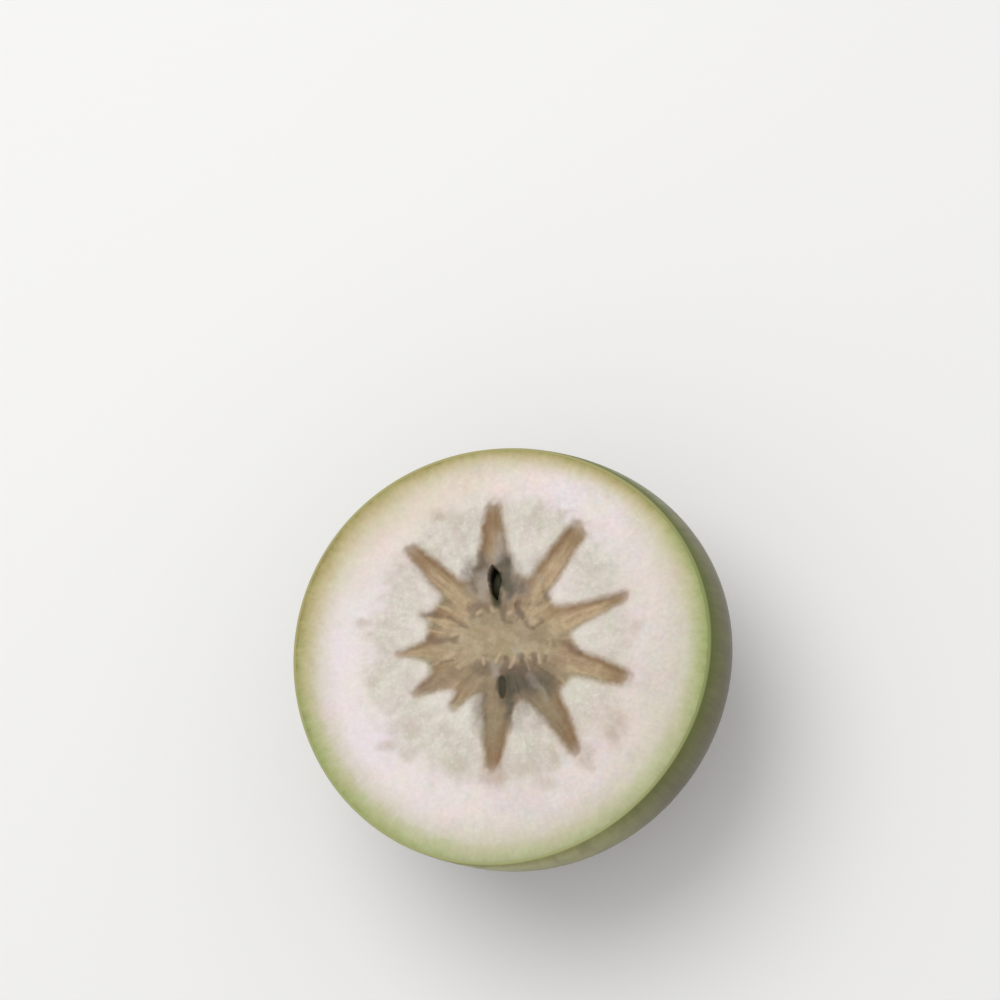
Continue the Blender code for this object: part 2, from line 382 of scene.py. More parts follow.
def cell_fields(x, y):
    """Values for a place in the star.

    How deep inside the star it is, its lane across the nearest cell (positive towards the wall
    that gets painted shade), its nearness to that cell's tip, how brown the cells are there, and
    its part in the core.
    """
    fray = 0.35 * ripples(x, y, 2.4, 15)
    web = by_direction(np.arctan2(y, x), GAPS, 1) - np.hypot(x, y)
    total = np.exp(np.clip(web / CELL_SPREAD, -60, 25))
    lane = np.zeros(x.shape)
    tip_part = np.zeros(x.shape)
    brown = np.zeros(x.shape)
    share = np.full(x.shape, ALMOST_NOTHING)
    for degrees, reach, bend, root, middle, tip, brownness in CELLS.values():
        angle = math.radians(degrees)
        along = x * math.cos(angle) + y * math.sin(angle)
        part = np.clip(along / reach, 0, 1.2)
        across = y * math.cos(angle) - x * math.sin(angle) - bend * part**4
        half = np.interp(part, CELL_STATIONS, [root, middle, tip])
        past_tip = np.maximum(along + fray - (reach - tip), 0)
        inside = np.minimum(half - np.abs(across), half - np.hypot(past_tip, across))
        inside = np.where(along > CELL_START, inside, FAR_OUTSIDE)
        total += np.exp(np.clip(inside / CELL_SPREAD, -60, 25))
        weight = np.exp(np.clip(inside / CELL_BLEND, -60, 25))
        # The wall that faces away from the light gets painted shade: its side of the lane is
        # positive
        shade_side = 1 if math.cos(angle) > -0.3 else -1
        lane += weight * shade_side * np.clip(across / half, -1.5, 1.5)
        tip_part += weight * soft_step(0.9, 1.03, part)
        brown += weight * brownness
        share += weight
    oval = np.hypot((x - CORE_CENTRE[0]) / CORE_HALF[0], (y - CORE_CENTRE[1]) / CORE_HALF[1])
    depth = CELL_SPREAD * np.log(total + ALMOST_NOTHING)
    return depth, lane / share, tip_part / share, brown / share, soft_step(1.35, 0.75, oval)


def pulp_field(x, y):
    """How far inside the pulp's edge a point is, with a notch in the edge at each cell."""
    turn = np.arctan2(y, x)
    edge = by_direction(turn, GAPS, 2)
    for degrees, *_ in CELLS.values():
        away = np.angle(np.exp(1j * (turn - math.radians(degrees))))
        edge = edge - PULP_NOTCH * np.exp(-((away / NOTCH_TURN) ** 2))
    return edge - np.hypot(x, y)


def strokes(x, y, rows):
    """Soft strokes: each row has both ends, a half width and a strength."""
    total = np.zeros(x.shape)
    for (x1, y1), (x2, y2), half_width, strength in rows:
        step_x, step_y = x2 - x1, y2 - y1
        part = ((x - x1) * step_x + (y - y1) * step_y) / (step_x**2 + step_y**2)
        part = np.clip(part, 0, 1)
        away = np.hypot(x - x1 - part * step_x, y - y1 - part * step_y) / half_width
        total = np.maximum(total, strength * soft_step(1.2, 0.2, away))
    return total


def slit_field(x, y):
    """How far a point is inside a slit, from 0 to 1, and the slit's depth there."""
    hole = np.zeros(x.shape)
    deep = np.zeros(x.shape)
    for (x1, y1), (x2, y2), half_width, depth, blunt, soft in SLITS:
        length = math.hypot(x2 - x1, y2 - y1)
        ux, uy = (x2 - x1) / length, (y2 - y1) / length
        along = (x - (x1 + x2) / 2) * ux + (y - (y1 + y2) / 2) * uy
        across = (y - (y1 + y2) / 2) * ux - (x - (x1 + x2) / 2) * uy
        taper = 1 - 0.7 * along / length
        lens = half_width * taper * np.clip(1 - np.abs(2 * along / length) ** blunt, 0, 1)
        inside = soft_step(-soft, soft + 0.1, lens - np.abs(across)) * soft_step(0, soft, lens)
        deep = np.where(inside > hole, depth, deep)
        hole = np.maximum(hole, inside)
    return hole, deep


def patches(x, y, rows):
    """Soft oval patches: each row has a centre, half sizes and a strength."""
    left = np.ones(x.shape)
    for (middle_x, middle_y), (half_x, half_y), strength in rows:
        away = np.hypot((x - middle_x) / half_x, (y - middle_y) / half_y)
        left *= 1 - strength * soft_step(1.1, 0.2, away)
    return 1 - left


def seed_roof(x, y):
    """The lowest that the flesh over each seed may be."""
    roof = np.full(x.shape, FAR_OUTSIDE)
    for (middle_x, middle_y), (half_x, half_y, half_z) in SEEDS.values():
        away = np.hypot(
            (x - middle_x) / (half_x + SEED_COVER),
            (y - middle_y) / (half_y + SEED_COVER),
        )
        drop = half_z * (1 - np.sqrt(np.clip(1 - away**2, 0, 1)))
        roof = np.where(away < 1, np.maximum(roof, SEED_COVER - SEED_TOP - drop), roof)
    return roof


def face_relief(x, y, edge):
    """The height of the cut face, and the values that its finish follows, all in mm."""
    star_x = x - STAR_CENTRE[0]
    star_y = y - STAR_CENTRE[1]
    radius = np.hypot(star_x, star_y) + 1e-6
    wander_x = 0.09 * ripples(star_x, star_y, 4.5, 11)
    wander_x = wander_x + 0.03 * ripples(star_x, star_y, 1.5, 12)
    wander_y = 0.09 * ripples(star_x, star_y, 4.5, 13)
    wander_y = wander_y + 0.03 * ripples(star_x, star_y, 1.5, 14)
    place = (star_x + wander_x, star_y + wander_y)
    near_place = (star_x + 3 * wander_x, star_y + 3 * wander_y)
    far_place = (star_x + 8 * wander_x, star_y + 8 * wander_y)
    cell, lane, tip, brown, core = cell_fields(*place)
    pulp = pulp_field(*far_place)
    nub = strokes(*place, NUBS)
    hollow = strokes(*near_place, HOLLOW_SHADES)
    veil = strokes(*near_place, VEILS)
    slit, slit_depth = slit_field(*place)
    shade = patches(*near_place, SHADED)
    stain = patches(*near_place, STAINS)

    ray_x, ray_y = star_x / radius * 20, star_y / radius * 20
    fibres = ripples(ray_x + 0.35 * radius, ray_y - 0.35 * radius, 3.2, 21)
    fibres = fibres * soft_step(3, 9, radius)
    grain = ripples(star_x, star_y, 1.3, 22)
    in_cell = soft_step(-0.8, 1.0, cell)
    in_pulp = soft_step(-2.0, 1.5, pulp) * (1 - in_cell)
    seam = np.exp(-((lane / 0.28) ** 2)) * (1 - core)
    height = -in_cell * (CELL_DEPTH * (1 - core) + CORE_DEPTH * core)
    height += in_cell * (0.14 * seam + 0.05 * fibres + 0.02 * grain)
    height -= in_pulp * (PULP_DEPTH + 0.12 * soft_step(2.6, 0.3, -cell))
    height += in_pulp * (0.03 * ripples(star_x, star_y, 3.1, 24) + 0.01 * grain)
    height += (1 - in_cell) * 0.025 * ripples(star_x, star_y, 9, 23)
    height += 0.25 * nub - 0.08 * hollow * (1 - nub)
    height = np.maximum(height, seed_roof(star_x, star_y))
    height = height * (1 - slit) - slit_depth * slit
    height -= 0.03 * soft_step(0.8, 0.3, edge)
    values = {
        "edge": edge,
        "cell": np.clip(cell, -8, 8),
        "lane": lane,
        "tip": tip,
        "brown": brown,
        "core": core,
        "pulp": np.clip(pulp, -8, 8),
        "nub": nub,
        "hollow": hollow,
        "veil": veil,
        "slit": np.maximum(slit, strokes(*place, GLOOM)),
        "shade": shade,
        "stain": stain,
    }
    return height, values


def flesh_shape():
    """A square sheet with a wall folded down round it, one step for each wall depth."""
    shape = bmesh.new()
    bmesh.ops.create_grid(shape, x_segments=FACE_CELLS, y_segments=FACE_CELLS, size=1)
    rim = [edge for edge in shape.edges if edge.is_boundary]
    for step in range(len(WALL_DEPTHS)):
        wall = bmesh.ops.extrude_edge_only(shape, edges=rim)["geom"]
        rim = [item for item in wall if isinstance(item, bmesh.types.BMEdge) and item.is_boundary]
        lower = {vert for edge in rim for vert in edge.verts}
        bmesh.ops.translate(shape, vec=(0, 0, -1), verts=list(lower))
    floor = bmesh.ops.edgeloop_fill(shape, edges=rim)
    bmesh.ops.poke(shape, faces=floor["faces"])
    bmesh.ops.recalc_face_normals(shape, faces=shape.faces)
    return shape


def make_flesh(material):
    mesh = mesh_from("flesh", flesh_shape())
    sheet = read_points(mesh)
    across, up = sheet[:, 0], sheet[:, 1]
    disc_x = across * np.sqrt(1 - up**2 / 2)
    disc_y = up * np.sqrt(1 - across**2 / 2)
    from_middle = np.hypot(disc_x, disc_y)
    crowd = (1 - FACE_CROWDING) + FACE_CROWDING * from_middle**2
    depth = np.interp(-sheet[:, 2], np.arange(len(WALL_DEPTHS) + 1), (0,) + WALL_DEPTHS)
    inset = SKIN_THICKNESS - FLESH_TUCK
    outer = belly_radius(CUT_HEIGHT - depth) - inset
    x, y = uneven(disc_x * crowd * outer, disc_y * crowd * outer, CUT_HEIGHT - depth)
    edge = (1 - from_middle * crowd) * outer + inset
    height, values = face_relief(x, y, edge)
    on_face = sheet[:, 2] > -0.5
    write_points(mesh, x, y, CUT_HEIGHT - depth + np.where(on_face, height, 0))
    for name, value in values.items():
        write_value(mesh, name, value)
    return new_piece("flesh", mesh, material, "flesh", "fruit_half")


def skin_profile():
    """The skin's section from the scar's middle out and up to the cut, and back inside it."""
    points = []
    for step in range(SCAR_STEPS):
        part = step / SCAR_STEPS
        height = SCAR_DEPTH * math.cos(part * math.pi / 2) ** SCAR_ROUND
        points.append((SCAR_RADIUS * part, height))
    for step in range(1, FLAT_STEPS):
        points.append((SCAR_RADIUS + (REST_RADIUS - SCAR_RADIUS) * step / FLAT_STEPS, 0))
    start = math.acos(REST_RADIUS / EQUATOR_RADIUS)
    end = math.asin(CUT_ABOVE_EQUATOR / BLOSSOM_DEPTH)
    for step in range(SKIN_RINGS + 1):
        turn = -start + (start + end) * (step / SKIN_RINGS)
        height = EQUATOR_HEIGHT + BLOSSOM_DEPTH * math.sin(turn)
        points.append((EQUATOR_RADIUS * math.cos(turn), height))
    face_radius = points.pop()[0]
    for step in range(RIM_STEPS + 1):
        turn = math.pi / 2 * step / RIM_STEPS
        points.append(
            (
                face_radius - RIM_ROUND * (1 - math.cos(turn)),
                CUT_HEIGHT - RIM_ROUND * (1 - math.sin(turn)),
            )
        )
    points.append((face_radius - SKIN_THICKNESS, CUT_HEIGHT))
    for step in range(INNER_STEPS):
        turn = end - INNER_START - (start + end) * (step / INNER_STEPS)
        points.append(
            (
                (EQUATOR_RADIUS - SKIN_THICKNESS) * math.cos(turn),
                EQUATOR_HEIGHT + (BLOSSOM_DEPTH - SKIN_THICKNESS) * math.sin(turn),
            )
        )
    points.append((0, SCAR_DEPTH + SKIN_THICKNESS))
    return points


def skin_shape():
    shape = bmesh.new()
    verts = [shape.verts.new((radius, 0, height)) for radius, height in skin_profile()]
    edges = [shape.edges.new(pair) for pair in zip(verts, verts[1:])]
    bmesh.ops.spin(
        shape,
        geom=verts + edges,
        cent=(0, 0, 0),
        axis=(0, 0, 1),
        angle=math.tau,
        steps=SKIN_STEPS,
        use_merge=True,
    )
    bmesh.ops.remove_doubles(shape, verts=shape.verts, dist=0.001)
    bmesh.ops.recalc_face_normals(shape, faces=shape.faces)
    return shape


def make_skin(material):
    mesh = mesh_from("skin", skin_shape())
    points = read_points(mesh)
    x, y = uneven(points[:, 0], points[:, 1], points[:, 2])
    write_points(mesh, x, y, points[:, 2])
    return new_piece("skin", mesh, material, "skin", "fruit_half")


def make_seed(name, material):
    (x, y), half = SEEDS[name]
    shape = bmesh.new()
    bmesh.ops.create_uvsphere(
        shape, u_segments=SEED_SEGMENTS, v_segments=SEED_RINGS, radius=1
    )
    bmesh.ops.scale(shape, vec=half, verts=shape.verts)
    centre = (STAR_CENTRE[0] + x, STAR_CENTRE[1] + y, CUT_HEIGHT - SEED_TOP - half[2])
    bmesh.ops.translate(shape, vec=centre, verts=shape.verts)
    bmesh.ops.scale(shape, vec=(MM, MM, MM), verts=shape.verts)
    return new_piece(name + "_fine", mesh_from(name, shape), material, "seed", name)


class Value:
    """An output of the shader that takes part in sums."""

    def __init__(self, paint, socket):
        self.paint = paint
        self.socket = socket

    def sum(self, operation, *values):
        return self.paint.node("ShaderNodeMath", {"operation": operation}, dict(enumerate(values)))

    def __add__(self, other):
        return self.sum("ADD", self, other)

    def __sub__(self, other):
        return self.sum("SUBTRACT", self, other)

    def __rsub__(self, other):
        return self.sum("SUBTRACT", other, self)

    def __mul__(self, other):
        return self.sum("MULTIPLY", self, other)

    def __truediv__(self, other):
        return self.sum("DIVIDE", self, other)

    __radd__ = __add__
    __rmul__ = __mul__

    def absolute(self):
        return self.sum("ABSOLUTE", self)

    def clipped(self):
        return self.sum("MINIMUM", self.sum("MAXIMUM", self, 0), 1)

    def step(self, low, high):
        """0 at low and 1 at high, smooth between, for either order."""
        settings = {"interpolation_type": "SMOOTHSTEP"}
        if low < high:
            return self.paint.node("ShaderNodeMapRange", settings, {0: self, 1: low, 2: high})
        return 1 - self.paint.node("ShaderNodeMapRange", settings, {0: self, 1: high, 2: low})


class Paint:
    """One material and the nodes that colour it."""

    def __init__(self, name):
        self.material = bpy.data.materials.new(name)
        self.material.use_nodes = True
        self.tree = self.material.node_tree
        self.shader = self.tree.nodes["Principled BSDF"]
        self.place = self.node("ShaderNodeTexCoord", output="Object")
        self.mm = self.scaled(self.place, 1 / MM)

    def node(self, kind, settings=None, sockets=None, output=0):
        """Any node: its settings are set first, then each socket gets a value or a link."""
        made = self.tree.nodes.new(kind)
        for key, value in (settings or {}).items():
            if key == "stops":
                ramp = made.color_ramp.elements
                while len(ramp) < len(value):
                    ramp.new(1)
                for stop, (position, colour) in zip(ramp, value):
                    stop.position = position
                    stop.color = (*colour, 1)
            else:
                setattr(made, key, value)
        for key, value in (sockets or {}).items():
            self.join(value, made.inputs[key])
        return Value(self, made.outputs[output])

    def join(self, value, socket):
        if isinstance(value, Value):
            self.tree.links.new(value.socket, socket)
        elif isinstance(value, tuple) and len(value) == 3 and socket.type == "RGBA":
            socket.default_value = (*value, 1)
        else:
            socket.default_value = value

    def noise(self, size, detail=3, rough=0.5, where=None, seed=0.0):
        """Soft noise between 0 and 1 with features of about this size in mm."""
        sockets = {
            "Vector": where or self.mm,
            "W": seed,
            "Scale": 1 / size,
            "Detail": detail,
            "Roughness": rough,
        }
        return self.node("ShaderNodeTexNoise", {"noise_dimensions": "4D"}, sockets)

    def attribute(self, name):
        return self.node("ShaderNodeAttribute", {"attribute_name": name}, output="Fac")

    def mix(self, part, first, second):
        """The first colour where part is 0 and the second where it is 1."""
        sockets = {0: part, 6: first, 7: second}
        return self.node("ShaderNodeMix", {"data_type": "RGBA"}, sockets, output=2)

    def ramp(self, value, *stops):
        return self.node("ShaderNodeValToRGB", {"stops": stops}, {0: value}, output="Color")

    def vector(self, operation, first, second=(0, 0, 0), output=0):
        sockets = {0: first, 1: second}
        return self.node("ShaderNodeVectorMath", {"operation": operation}, sockets, output)

    def scaled(self, vector, factor):
        sockets = {0: vector, "Scale": factor}
        return self.node("ShaderNodeVectorMath", {"operation": "SCALE"}, sockets)

    def along(self, place, degrees):
        """How far a place lies in a level direction."""
        direction = (math.cos(math.radians(degrees)), math.sin(math.radians(degrees)), 0)
        return self.vector("DOT_PRODUCT", place, direction, output="Value")

    def spokes(self, centre, around, rise):
        """The distance from a centre line, and a place whose noise runs in spokes away from it."""
        flat = self.vector("MULTIPLY", self.vector("SUBTRACT", self.mm, (*centre, 0)), (1, 1, 0))
        distance = self.vector("LENGTH", flat, output="Value")
        ray = self.scaled(self.vector("NORMALIZE", flat), around)
        climb = self.node("ShaderNodeCombineXYZ", {}, {"Z": rise(distance)})
        return distance, self.vector("ADD", ray, climb)

    def finish(self, height=None, depth=0.0001, **sockets):
        """Feeds the shader's own sockets, and a bump if a height is given."""
        for name, value in sockets.items():
            self.join(value, self.shader.inputs[name.replace("_", " ")])
        if height is not None:
            bumps = {"Height": height, "Distance": depth, "Strength": 1.0}
            self.join(self.node("ShaderNodeBump", {}, bumps), self.shader.inputs["Normal"])
        return self.material


# The height below which the skin turns from green to brown; painted shade raises it on the
# lower-right side.
BLUSH_TOP = 36.8

# Colours, as linear values
RING_PINK = (0.85, 0.765, 0.74)
RING_LAVENDER = (0.83, 0.765, 0.785)
RING_CREAM = (0.70, 0.615, 0.54)
RING_APRICOT = (0.73, 0.62, 0.43)
PULP_BRIGHT = (0.80, 0.765, 0.70)
PULP_PALE = (0.71, 0.665, 0.585)
PULP_GREY = (0.60, 0.555, 0.475)
PULP_WARM = (0.58, 0.49, 0.39)
STAIN_MAUVE = (0.50, 0.40, 0.315)
CELL_TAN = (0.43, 0.305, 0.175)
CELL_LIGHT = (0.54, 0.405, 0.25)
CELL_RUST_AND_SHADE = (0.25, 0.145, 0.065)
CELL_OLIVE = (0.21, 0.17, 0.095)
CELL_BROWN = (0.235, 0.18, 0.105)
CORE_BEIGE = (0.385, 0.295, 0.17)
CORE_LIGHT = (0.465, 0.372, 0.238)
NUB_PALE_AND_HIGHLIGHT = (0.53, 0.40, 0.28)
HOLLOW_SHADE_BROWN = (0.155, 0.104, 0.064)
VEIL_GREY = (0.41, 0.355, 0.295)
SHADE_GREY = (0.095, 0.082, 0.052)
SHADE_BROWN = (0.19, 0.145, 0.09)
SHADE_MAUVE = (0.27, 0.215, 0.17)
SLIT_BLACK_AND_SHADE = (0.025, 0.026, 0.013)
SLIT_BROWN_AND_SHADE = (0.075, 0.067, 0.042)
RIM_GREEN = (0.25, 0.285, 0.10)
RIM_YELLOW = (0.38, 0.39, 0.17)
RIM_LEAF = (0.36, 0.41, 0.16)
RIM_PALE = (0.50, 0.51, 0.28)
RIM_CREAM = (0.65, 0.61, 0.49)
RIM_TAN = (0.27, 0.195, 0.07)
RIM_WARM = (0.56, 0.475, 0.28)
RIM_BUTTER = (0.66, 0.60, 0.37)
RIM_STRAW = (0.42, 0.37, 0.15)
SKIN_EDGE_AND_SHADOW = (0.12, 0.145, 0.03)
SKIN_GREEN = (0.18, 0.20, 0.05)
SKIN_YELLOW = (0.26, 0.265, 0.08)
SKIN_LIT_STRAW = (0.42, 0.40, 0.15)
SKIN_OLIVE = (0.11, 0.10, 0.035)
SKIN_BROWN = (0.07, 0.052, 0.023)
SKIN_PINK = (0.20, 0.125, 0.088)
SKIN_FLECK = (0.34, 0.33, 0.17)
SCAR_BROWN = (0.09, 0.055, 0.03)
SEED_BLACK = (0.024, 0.025, 0.013)
SEED_BROWN = (0.034, 0.032, 0.018)


class Face:
    """What the parts of the flesh's finish share: values of the face and patterns on it."""

    def __init__(self, paint):
        self.paint = paint
        self.edge = paint.attribute("edge")
        self.cell = paint.attribute("cell")
        self.lane = paint.attribute("lane")
        self.tip = paint.attribute("tip")
        self.brown = paint.attribute("brown")
        self.core = paint.attribute("core")
        self.pulp = paint.attribute("pulp")
        self.nub = paint.attribute("nub")
        self.hollow = paint.attribute("hollow")
        self.veil = paint.attribute("veil")
        self.slit = paint.attribute("slit")
        self.shade = paint.attribute("shade")
        self.stain = paint.attribute("stain")
        self.radius, spokes = paint.spokes(STAR_CENTRE, 16, lambda distance: distance * 0.1)
        _, bristles = paint.spokes(FACE_CENTRE, 40, lambda distance: distance * 0.4)
        self.place = paint.vector("SUBTRACT", paint.mm, (*FACE_CENTRE, CUT_HEIGHT))
        self.fibre = paint.noise(1.0, 3, 0.6, spokes)
        self.thread = paint.noise(0.4, 4, 0.6, spokes)
        self.bristle = paint.noise(1.0, 3, 0.6, bristles)
        self.barb = paint.noise(0.8, 3, 0.6, seed=7.0)
        self.mottle = paint.noise(1.6, 4, 0.6)
        self.curd = paint.noise(3.6, 3, 0.55, seed=2.0)
        self.cloud = paint.noise(9, 2, 0.5)
        self.drift = paint.noise(16, 2, 0.5, seed=4.0)
        self.speck = paint.noise(0.75, 3, 0.6, seed=9.0)
        self.tint = paint.noise(4.5, 3, 0.6, seed=6.0)
        self.warmth = paint.noise(2.6, 4, 0.6, seed=8.0)
        top_side = self.towards(75).step(18, 38)
        ragged = self.edge * (top_side * 0.7 + 1.05) + (self.cloud - 0.5) * 2.0
        self.ragged = ragged + (self.mottle - 0.5) * 1.4 + (self.bristle - 0.5) * 1.8
        torn = (self.curd - 0.5) * 4.0 + (self.fibre - 0.5) * 5.0
        self.in_pulp = (self.pulp + torn).step(-3.0, 3.0)
        fuzz = self.cell + (self.mottle - 0.5) * 0.9 + (self.barb - 0.5) * 0.7
        self.fuzz = fuzz + (self.fibre - 0.5) * 0.7
        self.in_cell = self.fuzz.step(-0.9, 0.8) * (1 - self.tip * 0.5)
        self.south = self.towards(-90).step(-11, -8)

    def towards(self, degrees):
        """How far a place lies from the face's centre in a direction."""
        return self.paint.along(self.place, degrees)


def ring_colour(paint, face):
    """The pale flesh under the skin, and the green and straw rim that it fades from."""
    pale = paint.mix(face.cloud.step(0.35, 0.65), RING_PINK, RING_LAVENDER)
    creamy = face.towards(-32) + (face.drift - 0.5) * 40
    pale = paint.mix(creamy.step(-8, 44) * 0.9, pale, RING_CREAM)
    ripe_side = face.towards(118) + (face.cloud - 0.5) * 14
    pale = paint.mix(ripe_side.step(19, 36) * 0.6, pale, RING_APRICOT)
    dull = (face.curd * 0.6 + face.mottle * 0.4).step(0.5, 0.66)
    pale = paint.mix(dull * 0.3, pale, RING_CREAM)
    leaf = paint.ramp(
        face.ragged / 10,
        (0.0, RIM_GREEN),
        (0.09, RIM_LEAF),
        (0.25, RIM_PALE),
        (0.5, RIM_CREAM),
    )
    straw = paint.ramp(
        face.ragged / 10,
        (0.0, RIM_TAN),
        (0.12, RIM_STRAW),
        (0.3, RIM_WARM),
        (0.6, RIM_CREAM),
    )
    sunny = face.towards(110) + (face.cloud - 0.5) * 16
    rim = paint.mix(sunny.step(-6, 24), leaf, straw)
    butter = face.towards(90).step(-2, 14) * face.ragged.step(1.5, 5)
    rim = paint.mix(butter * 0.4, rim, RIM_BUTTER)
    facing_down = face.towards(-65).step(18, 36)
    rim = paint.mix(facing_down * 0.3, rim, RIM_CREAM)
    return paint.mix(face.ragged.step(3.0, 9.5), rim, pale)


def add_pulp(paint, face, colour):
    """The greyish pulp between the cells, its stained fringe and the warm edge of the star."""
    tone = (face.mottle * 0.3 + face.curd * 0.4 + face.fibre * 0.3).step(0.38, 0.62)
    soft = paint.mix(tone, PULP_GREY, PULP_PALE)
    crotch = (face.cell + (face.curd - 0.5) * 3).step(-5.0, -1.0) * face.radius.step(22, 13)
    soft = paint.mix(crotch * 0.7, soft, PULP_BRIGHT)
    soft = paint.mix(face.towards(-50).step(0, 34) * 0.4, soft, PULP_WARM)
    colour = paint.mix(face.in_pulp * 0.92, colour, soft)
    at_edge = (face.pulp - 0.5).absolute().step(2.4, 0.2)
    fringe = at_edge * (face.fibre * 0.6 + face.curd * 0.4).step(0.5, 0.66)
    colour = paint.mix(fringe * 0.22, colour, STAIN_MAUVE)
    patchy = (face.mottle * 0.5 + face.fibre * 0.5).step(0.34, 0.62)
    colour = paint.mix(face.stain * (patchy * 0.6 + 0.25), colour, STAIN_MAUVE)
    colour = paint.mix(face.speck.step(0.5, 0.72) * face.in_pulp * 0.4, colour, PULP_BRIGHT)
    return paint.mix(face.fuzz.step(-1.8, 0.0) * 0.4, colour, PULP_WARM)


def add_cells(paint, face, colour):
    """The tan seed cells with painted shade in rust along one wall, and rusty ends, round the
    beige core.
    """
    streak = (face.fibre * 0.5 + face.mottle * 0.5).step(0.36, 0.62)
    tan = paint.mix(streak, CELL_TAN, CELL_LIGHT)
    tan = paint.mix((face.brown + (face.curd - 0.5) * 0.4).clipped() * 0.9, tan, CELL_BROWN)
    # Painted shade: rust along the wall of each cell that faces away from the light
    wall = (face.lane + (face.fibre - 0.5) * 0.6).step(0.0, 0.85)
    tan = paint.mix(wall * (0.5 + face.radius.step(8, 20) * 0.4), tan, CELL_RUST_AND_SHADE)
    far_wall = (0.0 - face.lane + (face.barb - 0.5) * 0.5).step(0.55, 1.0)
    tan = paint.mix(far_wall * 0.6, tan, CELL_OLIVE)
    cream = (face.curd * 0.5 + face.mottle * 0.5).step(0.4, 0.6)
    tan = paint.mix(face.core, tan, paint.mix(cream, CORE_BEIGE, CORE_LIGHT))
    vein = (face.fibre * 0.8 + face.thread * 0.2).step(0.52, 0.7) * face.radius.step(5, 10)
    leftward = face.towards(180).step(3, 9)
    tan = paint.mix(vein * (leftward * 0.4 + 0.2), tan, CELL_RUST_AND_SHADE)
    rusty_end = (face.radius + (face.curd - 0.5) * 6).step(17, 23)
    tan = paint.mix(rusty_end * 0.7, tan, CELL_RUST_AND_SHADE)
    return paint.mix(face.in_cell, colour, tan)


def add_marks(paint, face, colour):
    """The shade of the seeds, the painted shade of the hollows, the veils, the nubs with their
    painted highlight, and the slits with their painted shade, round the core.
    """
    thin = paint.mix(face.south, SHADE_MAUVE, SHADE_BROWN)
    grey = paint.mix(face.shade.step(0.5, 1.0), thin, SHADE_GREY)
    frayed = ((face.fibre - 0.5) * 0.5 + (face.barb - 0.5) * 0.5) * face.shade.step(0, 0.4)
    colour = paint.mix((face.shade * 1.2 + frayed).clipped() * 0.92, colour, grey)
    # Painted shade in the hollows round the knobs, and broader darker strokes
    colour = paint.mix(face.hollow * 0.85, colour, HOLLOW_SHADE_BROWN)
    colour = paint.mix(face.veil * 0.8, colour, VEIL_GREY)
    # Pale knob tops: partly their own colour, partly a painted highlight
    colour = paint.mix(face.nub * 0.85, colour, NUB_PALE_AND_HIGHLIGHT)
    # Inside and beside the slits: the dark seed below, with painted shade in the slits' hollows
    slit_shade = paint.mix(face.south, SLIT_BLACK_AND_SHADE, SLIT_BROWN_AND_SHADE)
    return paint.mix(face.slit.step(0.0, 0.8), colour, slit_shade)


def add_grain(paint, face, colour):
    """The fine unevenness of the whole face, stronger in the ring's right part and the pulp."""
    in_ring = face.ragged.step(2, 8) * (1 - face.in_pulp) * (1 - face.in_cell)
    lumpy = face.towards(0).step(-24, -4) * in_ring
    lumps = (face.curd * 0.5 + face.barb * 0.5 - 0.5) * lumpy * 0.5
    mottled = (face.mottle - 0.5) * (face.in_pulp * 0.12 + 0.14)
    uneven_tone = (face.speck - 0.5) * 0.2 + mottled + lumps + 1
    drift_tone = (face.tint - 0.5) * 0.13
    warm_tone = (face.warmth - 0.5) * lumpy * 0.14
    tones = {
        "X": uneven_tone + drift_tone + warm_tone,
        "Y": uneven_tone - drift_tone,
        "Z": uneven_tone + drift_tone - warm_tone,
    }
    return paint.vector("MULTIPLY", colour, paint.node("ShaderNodeCombineXYZ", {}, tones))


def flesh_finish():
    paint = Paint("flesh")
    face = Face(paint)
    colour = ring_colour(paint, face)
    for add in (add_pulp, add_cells, add_marks, add_grain):
        colour = add(paint, face, colour)
    wet = face.in_pulp * 0.10 + face.in_cell * 0.05
    bumps = face.mottle * 0.4 + face.curd * 0.5 + face.fibre * 0.2 * face.in_cell
    return paint.finish(
        height=bumps + face.speck * 0.15,
        depth=0.00007,
        Base_Color=colour,
        Roughness=0.52 - wet + face.slit * 0.5,
        Subsurface_Weight=0.2,
        Subsurface_Radius=(1.0, 0.6, 0.45),
        Subsurface_Scale=0.0012,
        Specular_IOR_Level=0.2,
    )


